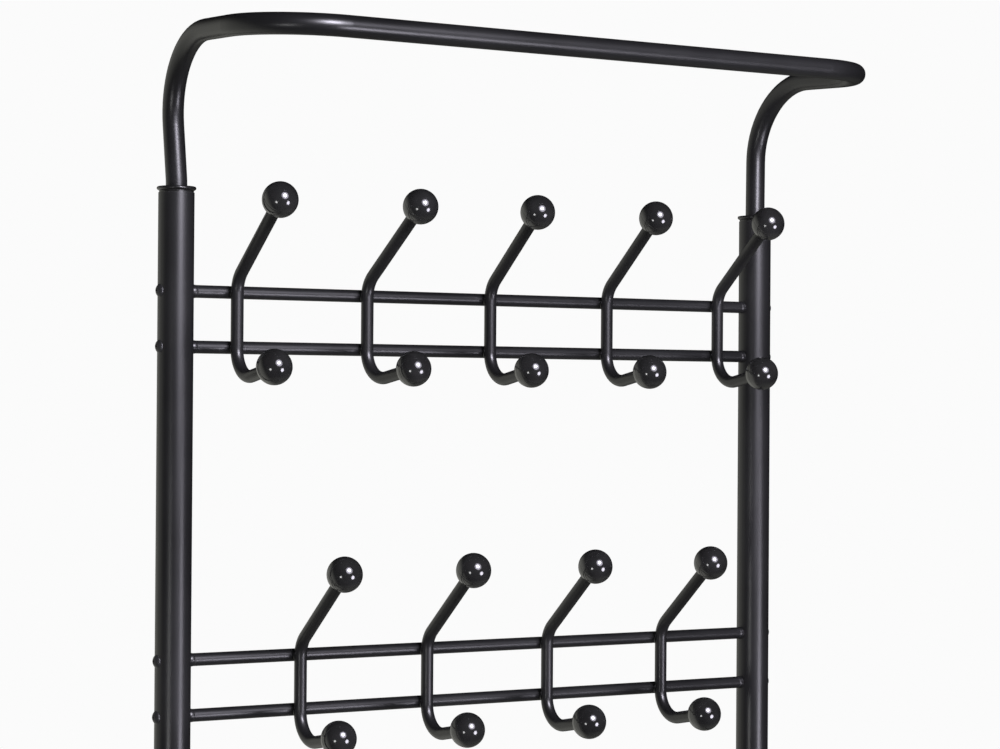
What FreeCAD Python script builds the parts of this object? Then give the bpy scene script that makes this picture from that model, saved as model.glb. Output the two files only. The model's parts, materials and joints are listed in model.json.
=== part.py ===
import FreeCAD, Part
import math
import os

# A free-standing hall coat rack of round black steel tube.  All sizes are in millimetres.
# Frame: +Z up, +X along the rack's width, front at -Y.  The origin is on the floor, under the
# middle of the rack's own box.  "Left" is -X and "right" is +X, seen from the front.

# --- Overall ---------------------------------------------------------------------------------
DEPTH = 320.0               # foot to foot, over everything
UPRIGHT_SPACING = 642.0     # between the axes of the two uprights

# --- Tube and rod stock ----------------------------------------------------------------------
WALL = 1.2                  # of every tube
UPRIGHT_DIA = 32.0
FRAME_DIA = 19.0            # top loop and front legs
BAR_DIA = 11.5              # hook rails and shelf bars
HOOK_DIA = 11.5
WIRE_DIA = 6.0

# --- Heights of the tube axes above the floor -------------------------------------------------
UPPER_RAIL_Z = 1637.0       # top bar of the upper hook rail
RAIL_DROP = 327.0           # from the upper rail to the lower rail
BAR_GAP = 49.4              # between the two bars of one rail
UPRIGHT_RISE = 87.0         # rim of the uprights above the upper rail
UPRIGHT_JOINT_Z = 880.0     # where the two lengths of an upright meet
SHELF_HEIGHTS = (100.0, 260.0, 420.0)
LEG_TOP_Z = 500.0           # where a front leg runs back to its upright

# --- Top loop: a bent hanger bar that plugs into the uprights ---------------------------------
LOOP_REACH = 194.0          # how far its front bar stands in front of the uprights
LOOP_REAR_RISE = 226.5      # corner above the upright, over the upper rail
LOOP_FRONT_RISE = 218.0     # front bar, over the upper rail
LOOP_REAR_SPREAD = 6.0      # how far the rear corner leans out sideways
LOOP_FRONT_SPREAD = 9.5     # and the front corner
LOOP_LEAN_BACK = 6.5        # how far the rear corner leans back
LOOP_KINK_RADIUS = 100.0    # the slight bend just above the bush
LOOP_REAR_RADIUS = 72.5
LOOP_FRONT_RADIUS = 73.0
LOOP_PLUG_DEPTH = 40.0      # how far it reaches into the upright
LOOP_STRAIGHT = 10.0        # straight stub above the upright's rim

# --- Hooks -----------------------------------------------------------------------------------
HOOK_PITCH = 133.0
UPPER_HOOKS = 5
LOWER_HOOKS = 4
UPPER_ARM_ANGLE = 50.4      # from the vertical
UPPER_ARM_LENGTH = 105.4    # corner to ball centre
UPPER_CORNER_RISE = 10.7    # corner above the rail's top bar
UPPER_BEND_RADIUS = 24.2
LOWER_ARM_ANGLE = 10.3      # above the horizontal
LOWER_ARM_LENGTH = 73.6
LOWER_CORNER_DROP = 31.0    # corner below the rail's bottom bar
LOWER_BEND_RADIUS = 25.3
SECOND_HOOK_TWIST = 6.0     # the second upper hook is welded on slightly turned, in degrees
WELD_RADIUS = 4.0           # weld between a hook and a bar
WIRE_WELD_RADIUS = 2.2
BALL_DIA = 32.0
BALL_FLAT = 14.3            # from the ball's centre to the flat where the rod goes in

# --- Bushes, connectors and feet --------------------------------------------------------------
BUSH_LENGTH = 30.0          # inside the upright
BUSH_NECK_RADIUS = 15.4
BUSH_NECK_HEIGHT = 1.6
BUSH_LIP_RADIUS = 17.5
BUSH_LIP_ROUND = 1.6        # radius of the rolled lip
BUSH_HEIGHT = 5.4
BUSH_DISH = 1.0             # how far the top face dips towards the loop
CONNECTOR_FLANGE = 2.0
CONNECTOR_LENGTH = 35.0     # into each half of the upright
CONNECTOR_WALL = 2.5
FOOT_WALL = 2.0
FOOT_FLOOR = 5.0
FOOT_ROUND = 1.5
REAR_FOOT_HEIGHT = 26.0
FRONT_FOOT_HEIGHT = 22.0

# --- Shelves ---------------------------------------------------------------------------------
WIRES_PER_SHELF = 9
WIRE_PITCH = 66.5
WIRE_OVERHANG = 5.0         # past the axis of the front and rear bars
LEG_BEND_RADIUS = 70.0

# --- Screws and their threaded inserts ----------------------------------------------------------
SCREW_DIA = 5.0
SCREW_HOLE_DIA = 5.4
HEAD_DIA = 12.0
HEAD_HEIGHT = 3.0
RECESS_LENGTH = 5.0
RECESS_WIDTH = 1.1
RECESS_DEPTH = 1.6
INSERT_LENGTH = 12.0
INSERT_SET_BACK = 1.5       # from the end of its tube
SCREW_IN_INSERT = 10.0

# --- Worked out from the sizes above ------------------------------------------------------------
UPRIGHT_R = UPRIGHT_DIA / 2
FRAME_R = FRAME_DIA / 2
BAR_R = BAR_DIA / 2
HOOK_R = HOOK_DIA / 2
WIRE_R = WIRE_DIA / 2
BALL_R = BALL_DIA / 2
UPRIGHT_X = UPRIGHT_SPACING / 2
UPRIGHT_Y = DEPTH / 2 - UPRIGHT_R - HEAD_HEIGHT
UPRIGHT_TOP = UPPER_RAIL_Z + UPRIGHT_RISE
LEG_Y = -DEPTH / 2 + FRAME_R + FOOT_WALL
LOWER_RAIL_Z = UPPER_RAIL_Z - RAIL_DROP
RAIL_BAR_HEIGHTS = {
    "upper_rail_top_bar": UPPER_RAIL_Z,
    "upper_rail_bottom_bar": UPPER_RAIL_Z - BAR_GAP,
    "lower_rail_top_bar": LOWER_RAIL_Z,
    "lower_rail_bottom_bar": LOWER_RAIL_Z - BAR_GAP,
}
HOOK_Y = UPRIGHT_Y - BAR_R - HOOK_R
SIDES = {"left": -1, "right": 1}
X_AXIS = FreeCAD.Vector(1, 0, 0)
Y_AXIS = FreeCAD.Vector(0, 1, 0)
Z_AXIS = FreeCAD.Vector(0, 0, 1)


def vec(x, y, z):
    return FreeCAD.Vector(x, y, z)


def cylinder(start, direction, length, radius):
    return Part.makeCylinder(radius, length, start, direction)


def revolved(outline_edges):
    """Turn a closed outline in the XZ plane round the Z axis."""
    face = Part.Face(Part.Wire(outline_edges))
    return face.revolve(vec(0, 0, 0), Z_AXIS, 360)


def line(start, end):
    return Part.makeLine(start, end)


def arc(start, middle, end):
    return Part.Arc(start, middle, end).toShape()


def path(points, bend_radii):
    """A wire through the points, with a tangent arc of the given radius at each inner point."""
    edges = []
    here = points[0]
    for before, corner, after, radius in zip(points, points[1:], points[2:], bend_radii):
        back = (before - corner).normalize()
        ahead = (after - corner).normalize()
        half_angle = back.getAngle(ahead) / 2
        run = radius / math.tan(half_angle)
        arc_start = corner + back * run
        arc_end = corner + ahead * run
        inward = (back + ahead).normalize()
        arc_middle = corner + inward * (radius / math.sin(half_angle) - radius)
        edges.append(line(here, arc_start))
        edges.append(arc(arc_start, arc_middle, arc_end))
        here = arc_end
    edges.append(line(here, points[-1]))
    return Part.Wire(edges)


def rod_along(points, bend_radii, radius):
    direction = points[1] - points[0]
    section = Part.Wire(Part.makeCircle(radius, points[0], direction))
    return path(points, bend_radii).makePipeShell([section], True, False)


def bent_tube(points, bend_radii, radius):
    outside = rod_along(points, bend_radii, radius)
    inside = rod_along(points, bend_radii, radius - WALL)
    return outside.cut(inside)


def straight_tube(start, direction, length, radius):
    outside = cylinder(start, direction, length, radius)
    inside = cylinder(start, direction, length, radius - WALL)
    return outside.cut(inside)


def save(shape, node):
    if shape.ShapeType == "Compound" and len(shape.Solids) == 1:
        shape = shape.Solids[0]
    shape.exportStep("parts/" + node + ".step")


# --- Uprights --------------------------------------------------------------------------------

def cross_hole(side, height):
    """A screw hole straight through an upright, from side to side."""
    start = vec(side * UPRIGHT_X - UPRIGHT_DIA, UPRIGHT_Y, height)
    return cylinder(start, X_AXIS, 2 * UPRIGHT_DIA, SCREW_HOLE_DIA / 2)


def upright_envelope(side):
    """The whole outside of an upright, for shaping what butts against it."""
    return cylinder(vec(side * UPRIGHT_X, UPRIGHT_Y, 0), Z_AXIS, UPRIGHT_TOP, UPRIGHT_R)


def upright_upper(side):
    bottom = UPRIGHT_JOINT_Z + CONNECTOR_FLANGE
    tube = straight_tube(vec(side * UPRIGHT_X, UPRIGHT_Y, bottom), Z_AXIS, UPRIGHT_TOP - bottom, UPRIGHT_R)
    for height in RAIL_BAR_HEIGHTS.values():
        tube = tube.cut(cross_hole(side, height))
    return tube


def upright_lower(side):
    start = vec(side * UPRIGHT_X, UPRIGHT_Y, FOOT_FLOOR)
    tube = straight_tube(start, Z_AXIS, UPRIGHT_JOINT_Z - FOOT_FLOOR, UPRIGHT_R)
    for height in SHELF_HEIGHTS:
        tube = tube.cut(cross_hole(side, height))
    leg_hole_start = vec(side * UPRIGHT_X, UPRIGHT_Y - UPRIGHT_DIA, LEG_TOP_Z)
    return tube.cut(cylinder(leg_hole_start, Y_AXIS, 2 * UPRIGHT_DIA, SCREW_HOLE_DIA / 2))


def upright_connector(side):
    """A sleeve that joins the two lengths of an upright, with a thin ring left showing."""
    axis_point = vec(side * UPRIGHT_X, UPRIGHT_Y, UPRIGHT_JOINT_Z)
    sleeve_start = axis_point - Z_AXIS * CONNECTOR_LENGTH
    sleeve_length = 2 * CONNECTOR_LENGTH + CONNECTOR_FLANGE
    sleeve_radius = UPRIGHT_R - WALL
    ring = cylinder(axis_point, Z_AXIS, CONNECTOR_FLANGE, UPRIGHT_R)
    sleeve = cylinder(sleeve_start, Z_AXIS, sleeve_length, sleeve_radius)
    bore = cylinder(sleeve_start, Z_AXIS, sleeve_length, sleeve_radius - CONNECTOR_WALL)
    return sleeve.fuse(ring).cut(bore)


# --- Top loop and its bushes --------------------------------------------------------------------

def loop_side(side):
    """Points of one half of the loop, from inside the upright to the front corner."""
    return [
        vec(side * UPRIGHT_X, UPRIGHT_Y, UPRIGHT_TOP - LOOP_PLUG_DEPTH),
        vec(side * UPRIGHT_X, UPRIGHT_Y, UPRIGHT_TOP + LOOP_STRAIGHT),
        vec(side * (UPRIGHT_X + LOOP_REAR_SPREAD), UPRIGHT_Y + LOOP_LEAN_BACK, UPPER_RAIL_Z + LOOP_REAR_RISE),
        vec(side * (UPRIGHT_X + LOOP_FRONT_SPREAD), UPRIGHT_Y - LOOP_REACH, UPPER_RAIL_Z + LOOP_FRONT_RISE),
    ]


def top_loop():
    bends = [LOOP_KINK_RADIUS, LOOP_REAR_RADIUS, LOOP_FRONT_RADIUS]
    points = loop_side(-1) + loop_side(1)[::-1]
    return bent_tube(points, bends + bends[::-1], FRAME_R)


def loop_bush(side):
    """A plastic bush with a rolled lip, between the loop and the upright's rim."""
    plug_radius = UPRIGHT_R - WALL
    lip_centre = vec(BUSH_LIP_RADIUS - BUSH_LIP_ROUND, 0, BUSH_HEIGHT - BUSH_LIP_ROUND)
    lip_top = lip_centre + Z_AXIS * BUSH_LIP_ROUND
    lip_side = lip_centre + X_AXIS * BUSH_LIP_ROUND
    lip_under = lip_centre + (X_AXIS - Z_AXIS).normalize() * BUSH_LIP_ROUND
    corners = [
        lip_under,
        vec(BUSH_NECK_RADIUS, 0, BUSH_NECK_HEIGHT),
        vec(BUSH_NECK_RADIUS, 0, 0),
        vec(plug_radius, 0, 0),
        vec(plug_radius, 0, -BUSH_LENGTH),
        vec(FRAME_R, 0, -BUSH_LENGTH),
        vec(FRAME_R, 0, BUSH_HEIGHT - BUSH_DISH),
        lip_top,
    ]
    edges = [line(start, end) for start, end in zip(corners, corners[1:])]
    edges.append(arc(lip_top, lip_side, lip_under))
    bush = revolved(edges)
    bush.translate(vec(side * UPRIGHT_X, UPRIGHT_Y, UPRIGHT_TOP))
    return bush


# --- Bars between the uprights or the legs ------------------------------------------------------

def cross_bar(y, height, end_shapes):
    """A bar from side to side, its ends shaped to fit the round tubes it butts against."""
    bar = straight_tube(vec(-UPRIGHT_X, y, height), X_AXIS, UPRIGHT_SPACING, BAR_R)
    for end_shape in end_shapes:
        bar = bar.cut(end_shape)
    return bar


def leg_envelope(side):
    return cylinder(vec(side * UPRIGHT_X, LEG_Y, 0), Z_AXIS, LEG_TOP_Z, FRAME_R)


# --- Hooks -----------------------------------------------------------------------------------

def hook_positions():
    """Name, x and the height of the rail's top bar, for every hook."""
    hooks = []
    for rail, count, height in (("upper", UPPER_HOOKS, UPPER_RAIL_Z), ("lower", LOWER_HOOKS, LOWER_RAIL_Z)):
        for number in range(count):
            x = (number - (count - 1) / 2) * HOOK_PITCH
            hooks.append((rail + "_hook_" + str(number + 1), x, height))
    return hooks


def upper_arm_direction():
    angle = math.radians(UPPER_ARM_ANGLE)
    return vec(0, -math.sin(angle), math.cos(angle))


def lower_arm_direction():
    angle = math.radians(LOWER_ARM_ANGLE)
    return vec(0, -math.cos(angle), math.sin(angle))


def hook_points(x, height):
    """Ball centre, upper corner, lower corner, ball centre."""
    upper_corner = vec(x, HOOK_Y, height + UPPER_CORNER_RISE)
    lower_corner = vec(x, HOOK_Y, height - BAR_GAP - LOWER_CORNER_DROP)
    return [
        upper_corner + upper_arm_direction() * UPPER_ARM_LENGTH,
        upper_corner,
        lower_corner,
        lower_corner + lower_arm_direction() * LOWER_ARM_LENGTH,
    ]


def hook_rod(x, height, twist):
    """One bent double hook, with the weld that holds it to each bar."""
    points = hook_points(x, height)
    bends = [UPPER_BEND_RADIUS, LOWER_BEND_RADIUS]
    rod = rod_along(points, bends, HOOK_R)
    hollow = rod_along(points, bends, HOOK_R - WALL)
    for shape in (rod, hollow):
        shape.rotate(points[1], Z_AXIS, twist)
    for bar_height in (height, height - BAR_GAP):
        bar = cylinder(vec(x - BAR_DIA, UPRIGHT_Y, bar_height), X_AXIS, 2 * BAR_DIA, BAR_R)
        weld = cylinder(vec(x, HOOK_Y, bar_height), Y_AXIS, BAR_R + HOOK_R, WELD_RADIUS)
        rod = rod.fuse(weld.cut(bar))
    return rod.cut(hollow)


def hook_ball(centre, arm_direction):
    """A ball with a flat, and a blind hole that the end of the arm fills."""
    to_rod = arm_direction * -1
    ball = Part.makeSphere(BALL_R, centre)
    beyond_flat = cylinder(centre + to_rod * BALL_FLAT, to_rod, BALL_R, BALL_R)
    hole = cylinder(centre, to_rod, BALL_DIA, HOOK_R)
    return ball.cut(beyond_flat).cut(hole)


def twist_of(name):
    return SECOND_HOOK_TWIST if name == "upper_hook_2" else 0.0


def save_hooks():
    for name, x, height in hook_positions():
        points = hook_points(x, height)
        twist = twist_of(name)
        top_ball = hook_ball(points[0], upper_arm_direction())
        low_ball = hook_ball(points[-1], lower_arm_direction())
        for ball in (top_ball, low_ball):
            ball.rotate(points[1], Z_AXIS, twist)
        save(hook_rod(x, height, twist), name)
        save(top_ball, name + "_top_ball")
        save(low_ball, name + "_low_ball")


# --- Base: front legs, shelf wires and feet ------------------------------------------------------

def front_leg(side):
    x = side * UPRIGHT_X
    points = [vec(x, LEG_Y, FOOT_FLOOR), vec(x, LEG_Y, LEG_TOP_Z), vec(x, UPRIGHT_Y, LEG_TOP_Z)]
    leg = bent_tube(points, [LEG_BEND_RADIUS], FRAME_R).cut(upright_envelope(side))
    for height in SHELF_HEIGHTS:
        hole_start = vec(x - FRAME_DIA, LEG_Y, height)
        leg = leg.cut(cylinder(hole_start, X_AXIS, 2 * FRAME_DIA, SCREW_HOLE_DIA / 2))
    return leg


def shelf_wires(height):
    """Separate straight wires, each laid across the front and rear bars and welded to both."""
    wire_z = height + BAR_R + WIRE_R
    start_y = LEG_Y - WIRE_OVERHANG
    length = UPRIGHT_Y - LEG_Y + 2 * WIRE_OVERHANG
    wires = []
    for number in range(WIRES_PER_SHELF):
        x = (number - (WIRES_PER_SHELF - 1) / 2) * WIRE_PITCH
        wire = cylinder(vec(x, start_y, wire_z), Y_AXIS, length, WIRE_R)
        for bar_y in (LEG_Y, UPRIGHT_Y):
            bar = cylinder(vec(x - BAR_DIA, bar_y, height), X_AXIS, 2 * BAR_DIA, BAR_R)
            weld = cylinder(vec(x, bar_y, height), Z_AXIS, wire_z - height, WIRE_WELD_RADIUS)
            wire = wire.fuse(weld.cut(bar))
        wires.append(wire)
    return Part.makeCompound(wires)


def foot(x, y, tube_radius, height):
    """A plastic cup pushed over the bottom end of a tube."""
    outer = tube_radius + FOOT_WALL
    cup = Part.makeCylinder(outer, height)
    cup = cup.makeFillet(FOOT_ROUND, cup.Edges)
    cup = cup.cut(cylinder(vec(0, 0, FOOT_FLOOR), Z_AXIS, height, tube_radius))
    cup.translate(vec(x, y, 0))
    return cup


# --- Screws and inserts -----------------------------------------------------------------------

def dome_screw(seat, inward, tube_radius, tube_axis_point, shank_length):
    """A pan-head screw whose head is dished to sit on the round tube at seat."""
    skirt = tube_radius - math.sqrt(tube_radius ** 2 - (HEAD_DIA / 2) ** 2)
    head_r = HEAD_DIA / 2
    dome_r = (head_r ** 2 + HEAD_HEIGHT ** 2) / (2 * HEAD_HEIGHT)
    outward = inward * -1
    dome_centre = seat + outward * (HEAD_HEIGHT - dome_r)
    blank = cylinder(seat + inward * skirt, outward, HEAD_HEIGHT + skirt, head_r)
    dome = Part.makeSphere(dome_r, dome_centre)
    column = cylinder(seat + inward * skirt, outward, skirt, head_r)
    head = blank.common(dome).fuse(column)
    head = head.cut(cylinder(tube_axis_point - Z_AXIS * HEAD_DIA, Z_AXIS, 2 * HEAD_DIA, tube_radius))
    for slot in cross_recess(seat + outward * HEAD_HEIGHT, inward):
        head = head.cut(slot)
    shank = cylinder(seat - inward * 0.5, inward, shank_length + 0.5, SCREW_DIA / 2)
    return head.fuse(shank)


def cross_recess(top, inward):
    """Two crossed slots in the top of a screw head."""
    sideways = inward.cross(Z_AXIS)
    slots = []
    for long_way, short_way in ((sideways, Z_AXIS), (Z_AXIS, sideways)):
        corner = top - long_way * (RECESS_LENGTH / 2) - short_way * (RECESS_WIDTH / 2)
        outline = Part.makePolygon([
            corner,
            corner + long_way * RECESS_LENGTH,
            corner + long_way * RECESS_LENGTH + short_way * RECESS_WIDTH,
            corner + short_way * RECESS_WIDTH,
            corner,
        ])
        slots.append(Part.Face(outline).extrude(inward * RECESS_DEPTH))
    return slots


def side_screws(y, tube_radius, heights):
    """One screw at each height and side, through a tube and into the end of a bar."""
    screws = []
    for side in SIDES.values():
        inward = X_AXIS * -side
        for height in heights:
            seat = vec(side * (UPRIGHT_X + tube_radius), y, height)
            shank = 2 * tube_radius + INSERT_SET_BACK + SCREW_IN_INSERT
            screws.append(dome_screw(seat, inward, tube_radius, vec(side * UPRIGHT_X, y, height), shank))
    return screws


def leg_screws():
    """One screw through the back of each upright into the top end of a front leg."""
    screws = []
    for side in SIDES.values():
        seat = vec(side * UPRIGHT_X, UPRIGHT_Y + UPRIGHT_R, LEG_TOP_Z)
        axis_point = vec(side * UPRIGHT_X, UPRIGHT_Y, LEG_TOP_Z)
        shank = UPRIGHT_DIA + INSERT_SET_BACK + SCREW_IN_INSERT
        screws.append(dome_screw(seat, Y_AXIS * -1, UPRIGHT_R, axis_point, shank))
    return Part.makeCompound(screws)


def insert(start, direction, tube_radius):
    """A threaded plug pressed into the end of a tube."""
    body = cylinder(start, direction, INSERT_LENGTH, tube_radius - WALL)
    return body.cut(cylinder(start, direction, INSERT_LENGTH, SCREW_DIA / 2))


def bar_end_inserts():
    inserts = []
    for side in SIDES.values():
        inward = X_AXIS * -side
        for height in RAIL_BAR_HEIGHTS.values():
            start = vec(side * (UPRIGHT_X - UPRIGHT_R - INSERT_SET_BACK), UPRIGHT_Y, height)
            inserts.append(insert(start, inward, BAR_R))
        for height in SHELF_HEIGHTS:
            rear = vec(side * (UPRIGHT_X - UPRIGHT_R - INSERT_SET_BACK), UPRIGHT_Y, height)
            front = vec(side * (UPRIGHT_X - FRAME_R - INSERT_SET_BACK), LEG_Y, height)
            inserts.append(insert(rear, inward, BAR_R))
            inserts.append(insert(front, inward, BAR_R))
    return Part.makeCompound(inserts)


def leg_end_inserts():
    inserts = []
    for side in SIDES.values():
        start = vec(side * UPRIGHT_X, UPRIGHT_Y - UPRIGHT_R - INSERT_SET_BACK, LEG_TOP_Z)
        inserts.append(insert(start, Y_AXIS * -1, FRAME_R))
    return Part.makeCompound(inserts)


# --- Everything --------------------------------------------------------------------------------

def save_frame():
    for name, side in SIDES.items():
        x = side * UPRIGHT_X
        save(upright_upper(side), name + "_upright_upper")
        save(upright_lower(side), name + "_upright_lower")
        save(upright_connector(side), name + "_upright_connector")
        save(loop_bush(side), name + "_loop_bush")
        save(front_leg(side), name + "_front_leg")
        save(foot(x, UPRIGHT_Y, UPRIGHT_R, REAR_FOOT_HEIGHT), name + "_rear_foot")
        save(foot(x, LEG_Y, FRAME_R, FRONT_FOOT_HEIGHT), name + "_front_foot")
    save(top_loop(), "top_loop")


def save_rails_and_shelves():
    uprights = [upright_envelope(side) for side in SIDES.values()]
    legs = [leg_envelope(side) for side in SIDES.values()]
    for node, height in RAIL_BAR_HEIGHTS.items():
        save(cross_bar(UPRIGHT_Y, height, uprights), node)
    for number, height in enumerate(SHELF_HEIGHTS, start=1):
        shelf = "shelf_" + str(number)
        save(cross_bar(UPRIGHT_Y, height, uprights), shelf + "_rear_bar")
        save(cross_bar(LEG_Y, height, legs), shelf + "_front_bar")
        save(shelf_wires(height), shelf + "_wires")


def save_fasteners():
    long_heights = list(RAIL_BAR_HEIGHTS.values()) + list(SHELF_HEIGHTS)
    save(Part.makeCompound(side_screws(UPRIGHT_Y, UPRIGHT_R, long_heights)), "long_screws")
    save(Part.makeCompound(side_screws(LEG_Y, FRAME_R, SHELF_HEIGHTS)), "short_screws")
    save(leg_screws(), "leg_screws")
    save(bar_end_inserts(), "bar_end_inserts")
    save(leg_end_inserts(), "leg_end_inserts")


os.makedirs("parts", exist_ok=True)
save_frame()
save_rails_and_shelves()
save_hooks()
save_fasteners()
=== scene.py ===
import json
import math

import bmesh
import bpy
from mathutils import Matrix, Vector, noise


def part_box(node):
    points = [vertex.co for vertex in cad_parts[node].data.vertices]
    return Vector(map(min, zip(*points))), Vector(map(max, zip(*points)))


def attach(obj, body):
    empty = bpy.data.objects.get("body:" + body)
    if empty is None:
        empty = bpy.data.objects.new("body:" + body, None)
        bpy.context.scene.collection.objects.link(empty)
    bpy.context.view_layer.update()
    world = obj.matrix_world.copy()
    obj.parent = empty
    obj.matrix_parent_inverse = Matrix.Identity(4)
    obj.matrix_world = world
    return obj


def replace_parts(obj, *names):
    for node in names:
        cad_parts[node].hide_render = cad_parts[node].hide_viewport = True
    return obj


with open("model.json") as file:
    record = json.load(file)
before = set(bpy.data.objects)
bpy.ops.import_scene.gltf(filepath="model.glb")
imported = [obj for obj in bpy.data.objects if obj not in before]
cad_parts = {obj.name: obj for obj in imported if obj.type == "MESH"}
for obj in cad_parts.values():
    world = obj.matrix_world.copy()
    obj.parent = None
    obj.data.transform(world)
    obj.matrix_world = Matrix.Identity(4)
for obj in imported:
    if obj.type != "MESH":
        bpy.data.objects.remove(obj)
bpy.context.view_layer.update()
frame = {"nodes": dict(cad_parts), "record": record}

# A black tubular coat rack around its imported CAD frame.  Metres, +Z up, front at -Y.
# The tubes, bars, hooks, bushes and feet are the CAD nodes.  The pieces made here are the glossy
# balls on the hook ends, the weld beads where rods cross, and the pressed rings at the bar ends.

# --- Places taken from the frame -----------------------------------------------------------------
RAIL_LOW, RAIL_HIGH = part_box("upper_rail_top_bar")
RAIL_CENTRE = (RAIL_LOW + RAIL_HIGH) / 2
BAR_RADIUS = (RAIL_HIGH.z - RAIL_LOW.z) / 2
HOOK_RADIUS = BAR_RADIUS
RAILS = {"upper": 5, "lower": 4}            # hooks on each rail
SHELVES = ("shelf_1", "shelf_2", "shelf_3")
WIRES_PER_SHELF = 9
X_AXIS = Vector((1, 0, 0))
Y_AXIS = Vector((0, 1, 0))
Z_AXIS = Vector((0, 0, 1))

# --- Balls ---------------------------------------------------------------------------------------
BALL_FLAT_HEIGHT = 0.0143   # from the centre to the flat that the rod goes into
BALL_FLAT_MATCH = 0.0001    # how near to that height a face of the CAD ball's flat lies
BALL_EDGE_ROUND = 0.0007    # rounding between the flat and the sphere
BALL_HOLE_LEAD = 0.0004     # small chamfer at the mouth of the hole
BALL_LOWER_STEPS = 24       # from the bottom up to the parting line
BALL_UPPER_STEPS = 18       # from there up to the rounding
CORNER_STEPS = 5
SEAM_DEPTH = 0.00006        # mould parting line round the middle
SEAM_DEG = 0.5              # its half width, as an angle

# --- Weld beads and bar end rings ----------------------------------------------------------------
HOOK_WELD_REACH = 0.0047    # from the middle of a crossing to the outside of its weld
WIRE_WELD_REACH = 0.0024
WELD_BULGE = 0.0005
WELD_SINK = 0.0003          # how far a bead reaches into the tubes it joins
WELD_DEPTH = 0.0015         # from its outside inwards
WELD_UNEVENNESS = 0.09
WELD_SEED_SLANT = 0.7       # turns a seed into a second step through the noise
WIRE_SEED_STEP = 10         # seeds to a metre along a shelf
WELD_STEPS = 36             # round a bead
BEAD_STEPS = 6              # from one tube to the other
RING_LENGTH = 0.0045
RING_CROWN = 0.0003         # how far the ring stands proud of its bar
RING_SINK = 0.0003
RING_STEPS = 10

# --- Mesh building -------------------------------------------------------------------------------
TURN_STEPS = 72             # round a turned piece
MERGE_DISTANCE = 1e-7       # joins the points that lie on a turned piece's axis
SHARP_DEG = 35              # edges that turn by more than this stay sharp

# --- Materials: colours, and roughness from least to most ----------------------------------------
COAT_DARK = (0.005, 0.005, 0.0053, 1)
COAT_LIGHT = (0.009, 0.009, 0.0095, 1)
COAT_SPECK = (0.018, 0.018, 0.019, 1)
COAT_WORN = (0.07, 0.068, 0.066, 1)
COAT_ROUGHNESS = (0.3, 0.36)
COAT_WORN_ROUGHNESS = 0.1   # added where the coat is worn
BALL_DARK = (0.008, 0.008, 0.008, 1)
BALL_LIGHT = (0.013, 0.013, 0.013, 1)
BALL_SPECULAR = 0.95
BALL_ROUGHNESS = (0.09, 0.13)
BALL_SCUFF_ROUGHNESS = 0.12     # added where the ball is scuffed
PLASTIC_DARK = (0.006, 0.006, 0.006, 1)
PLASTIC_LIGHT = (0.01, 0.01, 0.01, 1)
PLASTIC_WORN = (0.06, 0.06, 0.06, 1)
PLASTIC_ROUGHNESS = (0.2, 0.28)
SCREW_DARK = (0.02, 0.02, 0.021, 1)
SCREW_LIGHT = (0.035, 0.035, 0.036, 1)
SCREW_WORN = (0.2, 0.2, 0.2, 1)
SCREW_METALLIC = 0.5
SCREW_ROUGHNESS = (0.28, 0.38)
ZINC_DARK = (0.45, 0.45, 0.42, 1)
ZINC_LIGHT = (0.6, 0.6, 0.58, 1)
ZINC_WORN = (0.72, 0.72, 0.72, 1)
ZINC_ROUGHNESS = (0.25, 0.4)

# --- Materials: noise and wear -------------------------------------------------------------------
NOISE_LOW = 0.3             # a noise stays mostly between these two
NOISE_HIGH = 0.7
WEAR_LOW = 0.4              # value of its noise where a patch of wear begins
WEAR_HIGH = 0.6             # and where it is full
LEAST_WEAR = 0.15           # between the patches
EDGE_START = 0.98           # cosine between the true and the rounded normal where an edge begins
EDGE_FULL = 0.85            # and where it is full
BEVEL_SAMPLES = 6

# --- Camera --------------------------------------------------------------------------------------
CAMERA_OFFSET = Vector((-1.3729, -2.2171, -0.0942))   # from the middle of the upper rail's top bar
CAMERA_TURN = 32.11         # degrees to the right of straight ahead
CAMERA_TILT = 0.52          # degrees up
CAMERA_ROLL = 0.39          # degrees
LENS_MM = 99.16
SENSOR_MM = 36.0

# --- Studio --------------------------------------------------------------------------------------
FLOOR_RADIUS = 9.0
FLOOR_SIDES = 128
FLOOR_COLOUR = (0.3, 0.3, 0.3, 1)
FLOOR_GLOW = 0.6            # keeps the floor pale where the lights don't reach
FLOOR_ROUGHNESS = 0.7
SOFT_LIGHT = 0.6            # even light from all round
BACKGROUND = 0.965          # brightness behind the object
GLOW_EDGE = 0.5             # cosine of the angle from the middle of a glow to where it begins
GLOW_FULL = 0.95            # and to where it is full
LIGHT_AIM_DROP = 0.2        # from the upper rail down to the middle of the part in view
LIGHT_DISTANCE = 2.7        # from there to each light
WHITE = (1.0, 1.0, 1.0, 1)
WARM = (1.0, 1.0, 0.92, 1)
COOL_LIGHT = (0.9, 0.87, 1.0)
WHITE_LIGHT = (1.0, 1.0, 1.0)


def make_camera():
    data = bpy.data.cameras.new("camera")
    data.lens = LENS_MM
    data.sensor_width = SENSOR_MM
    camera = bpy.data.objects.new("camera", data)
    bpy.context.scene.collection.objects.link(camera)
    turn = Matrix.Rotation(math.radians(-CAMERA_TURN), 4, "Z")
    tilt = Matrix.Rotation(math.radians(90 + CAMERA_TILT), 4, "X")
    roll = Matrix.Rotation(math.radians(CAMERA_ROLL), 4, "Z")
    camera.matrix_world = Matrix.Translation(RAIL_CENTRE + CAMERA_OFFSET) @ turn @ tilt @ roll
    bpy.context.scene.camera = camera


# --- Materials -----------------------------------------------------------------------------------

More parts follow.
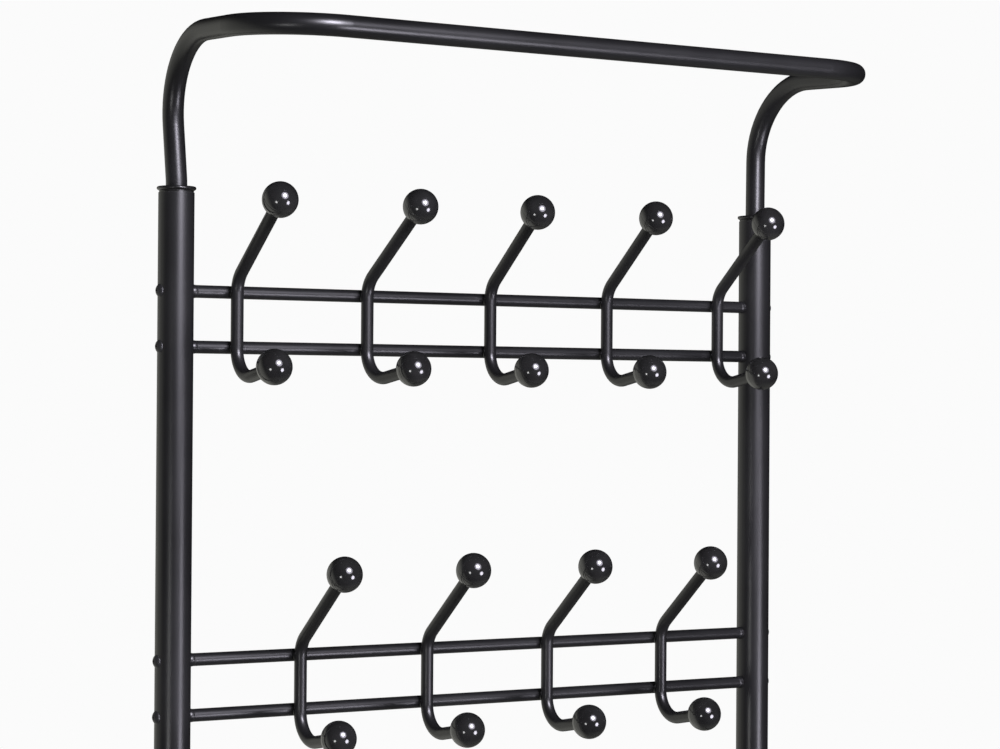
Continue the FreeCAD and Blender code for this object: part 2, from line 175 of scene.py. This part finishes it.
class Nodes:
    """Short names for building one node material.  Noise scales are per metre."""

    def __init__(self, name):
        self.material = bpy.data.materials.new(name)
        self.material.use_nodes = True
        self.tree = self.material.node_tree
        self.shader = self.tree.nodes["Principled BSDF"]
        self.place = self.add("ShaderNodeTexCoord").outputs["Object"]

    def add(self, kind, **values):
        node = self.tree.nodes.new(kind)
        for key, value in values.items():
            setattr(node, key, value)
        return node

    def link(self, output, socket):
        self.tree.links.new(output, socket)

    def fix(self, name, value):
        """Give an input of the shader one value all over."""
        self.shader.inputs[name].default_value = value

    def drive(self, name, output):
        """Feed an input of the shader from a node."""
        self.link(output, self.shader.inputs[name])

    def noise(self, scale, detail=2.0, roughness=0.5):
        node = self.add("ShaderNodeTexNoise")
        node.inputs["Scale"].default_value = scale
        node.inputs["Detail"].default_value = detail
        node.inputs["Roughness"].default_value = roughness
        self.link(self.place, node.inputs["Vector"])
        return node.outputs["Fac"]

    def spread(self, value, low, high, to_low, to_high):
        """Stretch the values from low to high over those from to_low to to_high."""
        node = self.add("ShaderNodeMapRange")
        node.inputs["From Min"].default_value = low
        node.inputs["From Max"].default_value = high
        node.inputs["To Min"].default_value = to_low
        node.inputs["To Max"].default_value = to_high
        self.link(value, node.inputs["Value"])
        return node.outputs["Result"]

    def vary(self, value, to_low, to_high):
        """Stretch a noise over the values from to_low to to_high."""
        return self.spread(value, NOISE_LOW, NOISE_HIGH, to_low, to_high)

    def maths(self, operation, first, second):
        node = self.add("ShaderNodeMath", operation=operation)
        for socket, value in zip(node.inputs, (first, second)):
            if isinstance(value, (int, float)):
                socket.default_value = value
            else:
                self.link(value, socket)
        return node.outputs["Value"]

    def mix(self, factor, first, second):
        node = self.add("ShaderNodeMix", data_type="RGBA")
        self.link(factor, node.inputs["Factor"])
        for socket, colour in ((node.inputs["A"], first), (node.inputs["B"], second)):
            if isinstance(colour, tuple):
                socket.default_value = colour
            else:
                self.link(colour, socket)
        return node.outputs["Result"]

    def bump(self, height, strength, distance, below=None):
        """A bump of the given height, on top of another where below is its normal."""
        node = self.add("ShaderNodeBump")
        node.inputs["Strength"].default_value = strength
        node.inputs["Distance"].default_value = distance
        self.link(height, node.inputs["Height"])
        if below:
            self.link(below, node.inputs["Normal"])
        return node.outputs["Normal"]

    def edges(self, radius):
        """1 along the sharp edges of the piece, and 0 away from them."""
        rounded = self.add("ShaderNodeBevel", samples=BEVEL_SAMPLES)
        rounded.inputs["Radius"].default_value = radius
        straight = self.add("ShaderNodeNewGeometry")
        compare = self.add("ShaderNodeVectorMath", operation="DOT_PRODUCT")
        self.link(rounded.outputs["Normal"], compare.inputs[0])
        self.link(straight.outputs["Normal"], compare.inputs[1])
        return self.spread(compare.outputs["Value"], EDGE_START, EDGE_FULL, 0, 1)

    def wear(self, radius, patch_scale):
        """Uneven wear along the edges."""
        patches = self.noise(patch_scale, detail=3.0)
        unevenness = self.spread(patches, WEAR_LOW, WEAR_HIGH, LEAST_WEAR, 1)
        return self.maths("MULTIPLY", self.edges(radius), unevenness)

    def worn(self, colour, wear, worn_colour, share=1.0):
        """The colour with up to the given share of the worn colour in it, where it is worn."""
        return self.mix(self.maths("MULTIPLY", wear, share), colour, worn_colour)


def powder_coat():
    """Black powder coat on steel: orange peel, fine grain, and thin places along cut edges."""
    nodes = Nodes("black_powder_coat")
    cloud = nodes.noise(scale=9.0, detail=3.0)
    grain = nodes.noise(scale=2600.0, detail=1.0)
    wear = nodes.wear(radius=0.0006, patch_scale=300.0)
    colour = nodes.mix(nodes.vary(cloud, 0, 1), COAT_DARK, COAT_LIGHT)
    speck = nodes.spread(grain, low=0.62, high=0.75, to_low=0, to_high=0.5)
    colour = nodes.mix(speck, colour, COAT_SPECK)
    nodes.drive("Base Color", nodes.worn(colour, wear, COAT_WORN, share=0.6))
    rougher = nodes.maths("MULTIPLY", wear, COAT_WORN_ROUGHNESS)
    nodes.drive("Roughness", nodes.maths("ADD", nodes.vary(cloud, *COAT_ROUGHNESS), rougher))
    peel = nodes.bump(nodes.noise(scale=450.0), strength=0.05, distance=0.0003)
    nodes.drive("Normal", nodes.bump(grain, strength=0.06, distance=0.0001, below=peel))
    return nodes.material


def ball_plastic():
    """Glossy black moulded plastic with faint flow marks and handling scuffs."""
    nodes = Nodes("glossy_black_plastic")
    cloud = nodes.noise(scale=60.0, detail=3.0)
    scratches = nodes.noise(scale=800.0, detail=4.0, roughness=0.7)
    scuff = nodes.spread(scratches, low=0.6, high=0.72, to_low=0, to_high=BALL_SCUFF_ROUGHNESS)
    nodes.drive("Base Color", nodes.mix(nodes.vary(cloud, 0, 1), BALL_DARK, BALL_LIGHT))
    nodes.fix("Specular IOR Level", BALL_SPECULAR)
    nodes.drive("Roughness", nodes.maths("ADD", nodes.vary(cloud, *BALL_ROUGHNESS), scuff))
    nodes.drive("Normal", nodes.bump(nodes.noise(scale=300.0), strength=0.04, distance=0.0003))
    return nodes.material


def black_plastic():
    """Satin black plastic of the bushes, connectors and feet."""
    nodes = Nodes("satin_black_plastic")
    cloud = nodes.noise(scale=40.0)
    wear = nodes.wear(radius=0.0005, patch_scale=500.0)
    colour = nodes.mix(cloud, PLASTIC_DARK, PLASTIC_LIGHT)
    nodes.drive("Base Color", nodes.worn(colour, wear, PLASTIC_WORN, share=0.5))
    nodes.drive("Roughness", nodes.vary(cloud, *PLASTIC_ROUGHNESS))
    nodes.drive("Normal", nodes.bump(nodes.noise(scale=1800.0), strength=0.1, distance=0.0001))
    return nodes.material


def black_screw():
    """Blackened steel screws, rubbed brighter on their rims and recesses."""
    nodes = Nodes("blackened_steel")
    cloud = nodes.noise(scale=120.0, detail=3.0)
    wear = nodes.wear(radius=0.0004, patch_scale=900.0)
    colour = nodes.mix(cloud, SCREW_DARK, SCREW_LIGHT)
    nodes.drive("Base Color", nodes.worn(colour, wear, SCREW_WORN, share=0.5))
    nodes.fix("Metallic", SCREW_METALLIC)
    nodes.drive("Roughness", nodes.vary(cloud, *SCREW_ROUGHNESS))
    nodes.drive("Normal", nodes.bump(nodes.noise(scale=900.0), strength=0.1, distance=0.0002))
    return nodes.material


def zinc():
    """Zinc-plated inserts."""
    nodes = Nodes("zinc_plate")
    cloud = nodes.noise(scale=200.0, detail=3.0)
    wear = nodes.wear(radius=0.0003, patch_scale=700.0)
    colour = nodes.mix(cloud, ZINC_DARK, ZINC_LIGHT)
    nodes.drive("Base Color", nodes.worn(colour, wear, ZINC_WORN))
    nodes.fix("Metallic", 1.0)
    nodes.drive("Roughness", nodes.vary(cloud, *ZINC_ROUGHNESS))
    nodes.drive("Normal", nodes.bump(nodes.noise(scale=1200.0), strength=0.08, distance=0.0001))
    return nodes.material


COAT = powder_coat()
LOOKS = {
    "powder_coat": COAT,
    "hook_coat": COAT,
    "ball_plastic": ball_plastic(),
    "black_plastic": black_plastic(),
    "black_screw": black_screw(),
    "zinc_insert": zinc(),
}


def paint_nodes():
    for part in frame["record"]["subparts"]:
        for slot in frame["nodes"][part["node"]].material_slots:
            slot.material = LOOKS[part["material_slot"]]


# --- Mesh building -------------------------------------------------------------------------------

def add_piece(name, shape, slot):
    """Turn a bmesh into a finished piece that rides on the rack."""
    bmesh.ops.recalc_face_normals(shape, faces=shape.faces)
    mesh = bpy.data.meshes.new(name)
    shape.to_mesh(mesh)
    shape.free()
    mesh.shade_smooth()
    mesh.set_sharp_from_angle(angle=math.radians(SHARP_DEG))
    mesh.materials.append(LOOKS[slot])
    piece = bpy.data.objects.new(name, mesh)
    bpy.context.scene.collection.objects.link(piece)
    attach(piece, "root")
    return piece


def around(rings):
    """Each ring with the one after it, and the last with the first."""
    return zip(rings, rings[1:] + rings[:1])


def add_turned(shape, outline, place, axis):
    """Add an outline of (radius, height) points, closed or from axis to axis, turned round an axis."""
    matrix = Matrix.Translation(place) @ axis.to_track_quat("Z", "Y").to_matrix().to_4x4()
    rings = []
    for step in range(TURN_STEPS):
        angle = 2 * math.pi * step / TURN_STEPS
        spoke = Vector((math.cos(angle), math.sin(angle), 0))
        points = [spoke * radius + Z_AXIS * height for radius, height in outline]
        rings.append([shape.verts.new(matrix @ point) for point in points])
    for ring, following in around(rings):
        for here in range(len(outline)):
            ahead = (here + 1) % len(outline)
            if outline[here][0] or outline[ahead][0]:
                shape.faces.new((ring[here], following[here], following[ahead], ring[ahead]))
    bmesh.ops.remove_doubles(shape, verts=shape.verts, dist=MERGE_DISTANCE)


def arc(radius, start_deg, end_deg, steps):
    """Points round part of a circle about the origin."""
    points = []
    for step in range(steps + 1):
        angle = math.radians(start_deg + (end_deg - start_deg) * step / steps)
        points.append((radius * math.cos(angle), radius * math.sin(angle)))
    return points


def soft_corner(start, corner, end):
    """Points of a smooth turn at a corner, without its start."""
    points = []
    for step in range(1, CORNER_STEPS + 1):
        way = step / CORNER_STEPS
        from_start = (1 - way) ** 2
        from_corner = 2 * way * (1 - way)
        from_end = way ** 2
        radius = from_start * start[0] + from_corner * corner[0] + from_end * end[0]
        height = from_start * start[1] + from_corner * corner[1] + from_end * end[1]
        points.append((radius, height))
    return points


def evenly(first, last, count):
    return [first + (last - first) * number / (count - 1) for number in range(count)]


def middle(node):
    low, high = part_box(node)
    return (low + high) / 2


# --- Balls ---------------------------------------------------------------------------------------

def ball_outline(radius):
    """Half the section of a ball: the sphere with its parting line, the flat, and the rod's hole."""
    flat_radius = math.sqrt(radius ** 2 - BALL_FLAT_HEIGHT ** 2)
    flat_deg = math.degrees(math.atan2(BALL_FLAT_HEIGHT, flat_radius))
    round_deg = math.degrees(BALL_EDGE_ROUND / radius)
    points = [(0, -radius)] + arc(radius, -90, -SEAM_DEG, BALL_LOWER_STEPS)[1:]
    points.append((radius - SEAM_DEPTH, 0))
    points += arc(radius, SEAM_DEG, flat_deg - round_deg, BALL_UPPER_STEPS)
    flat_start = (flat_radius - BALL_EDGE_ROUND, BALL_FLAT_HEIGHT)
    points += soft_corner(points[-1], (flat_radius, BALL_FLAT_HEIGHT), flat_start)
    points.append((HOOK_RADIUS + BALL_HOLE_LEAD, BALL_FLAT_HEIGHT))
    points.append((HOOK_RADIUS, BALL_FLAT_HEIGHT - BALL_HOLE_LEAD))
    points.append((HOOK_RADIUS, 0))
    points.append((0, 0))
    return points


def ball_place(node):
    """Centre, radius and the direction from the centre to the flat, from the CAD ball."""
    low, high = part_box(node)
    radius = (high.x - low.x) / 2
    centre = Vector(((low.x + high.x) / 2, low.y + radius, (low.z + high.z) / 2))
    for face in frame["nodes"][node].data.polygons:
        height = face.normal.dot(face.center - centre)
        if abs(height - BALL_FLAT_HEIGHT) < BALL_FLAT_MATCH:
            return centre, radius, face.normal.copy()
    raise ValueError("no flat on " + node)


def make_balls():
    for rail, count in RAILS.items():
        for number in range(1, count + 1):
            for end in ("top_ball", "low_ball"):
                node = rail + "_hook_" + str(number) + "_" + end
                centre, radius, to_rod = ball_place(node)
                shape = bmesh.new()
                add_turned(shape, ball_outline(radius), centre, to_rod)
                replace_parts(add_piece(node + "_moulding", shape, "ball_plastic"), node)


# --- Weld beads ----------------------------------------------------------------------------------

def weld_section(across, to_bar, reach, start, end):
    """One section of a bead: its bulging outside from start to end, and its inside."""
    section = []
    for step in range(BEAD_STEPS + 1):
        share = step / BEAD_STEPS
        bulge = WELD_BULGE * math.sin(math.pi * share)
        section.append(across * (reach + bulge) + to_bar * (start + (end - start) * share))
    section.append(across * (reach - WELD_DEPTH) + to_bar * end)
    section.append(across * (reach - WELD_DEPTH) + to_bar * start)
    return section


def add_weld(shape, contact, rod_axis, bar_axis, rod_radius, reach, seed):
    """A closed bead in the gap round the crossing of a rod and a bar, which touch at contact."""
    to_bar = rod_axis.cross(bar_axis)
    rings = []
    for step in range(WELD_STEPS):
        angle = 2 * math.pi * step / WELD_STEPS
        noise_place = Vector((math.cos(angle) + seed, math.sin(angle), seed * WELD_SEED_SLANT))
        ring_reach = reach * (1 + WELD_UNEVENNESS * noise.noise(noise_place))
        across = bar_axis * math.cos(angle) + rod_axis * math.sin(angle)
        rod_gap = rod_radius - math.sqrt(rod_radius ** 2 - (ring_reach * math.cos(angle)) ** 2)
        bar_gap = BAR_RADIUS - math.sqrt(BAR_RADIUS ** 2 - (ring_reach * math.sin(angle)) ** 2)
        start = -rod_gap - WELD_SINK
        end = bar_gap + WELD_SINK
        section = weld_section(across, to_bar, ring_reach, start, end)
        rings.append([shape.verts.new(contact + point) for point in section])
    for ring, following in around(rings):
        for here in range(len(ring)):
            ahead = (here + 1) % len(ring)
            shape.faces.new((ring[here], following[here], following[ahead], ring[ahead]))


def make_hook_welds():
    for rail, count in RAILS.items():
        first = middle(rail + "_hook_1")
        last = middle(rail + "_hook_" + str(count))
        for number, x in enumerate(evenly(first.x, last.x, count), start=1):
            shape = bmesh.new()
            for bar in (rail + "_rail_top_bar", rail + "_rail_bottom_bar"):
                contact = Vector((x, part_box(bar)[0].y, middle(bar).z))
                seed = number + contact.z
                add_weld(shape, contact, Z_AXIS, X_AXIS, HOOK_RADIUS, HOOK_WELD_REACH, seed)
            add_piece(rail + "_hook_" + str(number) + "_welds", shape, "hook_coat")


def make_shelf_welds():
    for shelf in SHELVES:
        low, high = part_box(shelf + "_wires")
        wire_radius = (high.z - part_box(shelf + "_front_bar")[1].z) / 2
        shape = bmesh.new()
        for x in evenly(low.x + wire_radius, high.x - wire_radius, WIRES_PER_SHELF):
            for bar in (shelf + "_front_bar", shelf + "_rear_bar"):
                contact = Vector((x, middle(bar).y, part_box(bar)[1].z))
                seed = WIRE_SEED_STEP * x + contact.z
                add_weld(shape, contact, Y_AXIS, X_AXIS, wire_radius, WIRE_WELD_REACH, seed)
        add_piece(shelf + "_welds", shape, "powder_coat")


# --- Rings at the bar ends -----------------------------------------------------------------------

def ring_outline():
    """Half the section of a ring, from the end of the bar inwards."""
    points = [(BAR_RADIUS - RING_SINK, 0)]
    for step in range(RING_STEPS + 1):
        share = step / RING_STEPS
        crown = RING_CROWN * math.sin(math.pi * share)
        points.append((BAR_RADIUS + crown, RING_LENGTH * share))
    points.append((BAR_RADIUS - RING_SINK, RING_LENGTH))
    return points


def make_bar_rings():
    """A slight pressed ring at each end of a bar, where it closes on its insert."""
    bars = [rail + "_rail_" + row + "_bar" for rail in RAILS for row in ("top", "bottom")]
    bars += [shelf + "_" + row + "_bar" for shelf in SHELVES for row in ("front", "rear")]
    for bar in bars:
        low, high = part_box(bar)
        centre = (low + high) / 2
        shape = bmesh.new()
        add_turned(shape, ring_outline(), Vector((low.x, centre.y, centre.z)), X_AXIS)
        add_turned(shape, ring_outline(), Vector((high.x, centre.y, centre.z)), -X_AXIS)
        add_piece(bar + "_end_rings", shape, "powder_coat")


# --- Floor, background and lights ----------------------------------------------------------------

def make_floor():
    bpy.ops.mesh.primitive_circle_add(
        vertices=FLOOR_SIDES, radius=FLOOR_RADIUS, fill_type="NGON", location=(0, 0, 0)
    )
    floor = bpy.context.object
    floor.name = "floor"
    nodes = Nodes("pale_floor")
    nodes.fix("Base Color", FLOOR_COLOUR)
    nodes.fix("Emission Color", WHITE)
    nodes.fix("Emission Strength", FLOOR_GLOW)
    nodes.fix("Roughness", FLOOR_ROUGHNESS)
    floor.data.materials.append(nodes.material)
    floor.visible_glossy = False


def direction_of(turn_deg, up_deg):
    """The direction that is turned to the right of +Y, and raised, by the given angles."""
    turn = math.radians(turn_deg)
    up = math.radians(up_deg)
    return Vector((math.sin(turn) * math.cos(up), math.cos(turn) * math.cos(up), math.sin(up)))


def studio_glow(tree, right_deg, up_deg, strength):
    """A soft pale patch for reflections, placed by its angles from the camera's line of sight."""
    ray = tree.nodes.new("ShaderNodeTexCoord").outputs["Generated"]
    towards = tree.nodes.new("ShaderNodeVectorMath")
    towards.operation = "DOT_PRODUCT"
    towards.inputs[1].default_value = direction_of(CAMERA_TURN + right_deg, up_deg)
    tree.links.new(ray, towards.inputs[0])
    fade = tree.nodes.new("ShaderNodeMapRange")
    fade.interpolation_type = "SMOOTHSTEP"
    fade.inputs["From Min"].default_value = GLOW_EDGE
    fade.inputs["From Max"].default_value = GLOW_FULL
    fade.inputs["To Min"].default_value = 0
    fade.inputs["To Max"].default_value = strength
    tree.links.new(towards.outputs["Value"], fade.inputs["Value"])
    return fade.outputs["Result"]


def make_world():
    """A white background and soft even light, reflected as a dark studio with two pale patches."""
    world = bpy.data.worlds.new("studio")
    world.use_nodes = True
    tree = world.node_tree
    glow = tree.nodes.new("ShaderNodeMath")
    glow.operation = "ADD"
    left_glow = studio_glow(tree, right_deg=-62, up_deg=-20, strength=0.66)
    low_glow = studio_glow(tree, right_deg=0, up_deg=-60, strength=0.16)
    tree.links.new(left_glow, glow.inputs[0])
    tree.links.new(low_glow, glow.inputs[1])
    reflected = tree.nodes["Background"]
    reflected.inputs["Color"].default_value = WARM
    tree.links.new(glow.outputs["Value"], reflected.inputs["Strength"])
    path = tree.nodes.new("ShaderNodeLightPath")
    shader = reflected.outputs["Background"]
    for ray, level in (("Is Diffuse Ray", SOFT_LIGHT), ("Is Camera Ray", BACKGROUND)):
        plain = tree.nodes.new("ShaderNodeBackground")
        plain.inputs["Color"].default_value = (level, level, level, 1)
        choose = tree.nodes.new("ShaderNodeMixShader")
        tree.links.new(path.outputs[ray], choose.inputs["Fac"])
        tree.links.new(shader, choose.inputs[1])
        tree.links.new(plain.outputs["Background"], choose.inputs[2])
        shader = choose.outputs["Shader"]
    tree.links.new(shader, tree.nodes["World Output"].inputs["Surface"])
    bpy.context.scene.world = world


def make_light(name, right_deg, up_deg, size, power, colour):
    """A round soft light, placed by its angles from the line between the object and the camera."""
    direction = direction_of(180 + CAMERA_TURN - right_deg, up_deg)
    data = bpy.data.lights.new(name, "AREA")
    data.shape = "DISK"
    data.size = size
    data.energy = power
    data.color = colour
    light = bpy.data.objects.new(name, data)
    bpy.context.scene.collection.objects.link(light)
    light.location = RAIL_CENTRE - Z_AXIS * LIGHT_AIM_DROP + direction * LIGHT_DISTANCE
    light.rotation_mode = "QUATERNION"
    light.rotation_quaternion = direction.to_track_quat("Z", "Y")
    light.visible_camera = False


def make_lights():
    make_light("key", right_deg=30, up_deg=27, size=0.8, power=85, colour=COOL_LIGHT)
    make_light("halo", right_deg=31, up_deg=26, size=1.9, power=50, colour=COOL_LIGHT)
    make_light("side", right_deg=53, up_deg=-15, size=0.95, power=30, colour=COOL_LIGHT)
    make_light("fill", right_deg=-22, up_deg=-12, size=0.55, power=6.2, colour=WHITE_LIGHT)


make_camera()
paint_nodes()
make_balls()
make_hook_welds()
make_shelf_welds()
make_bar_rings()
make_world()
make_floor()
make_lights()
bpy.context.scene.view_settings.view_transform = "Standard"
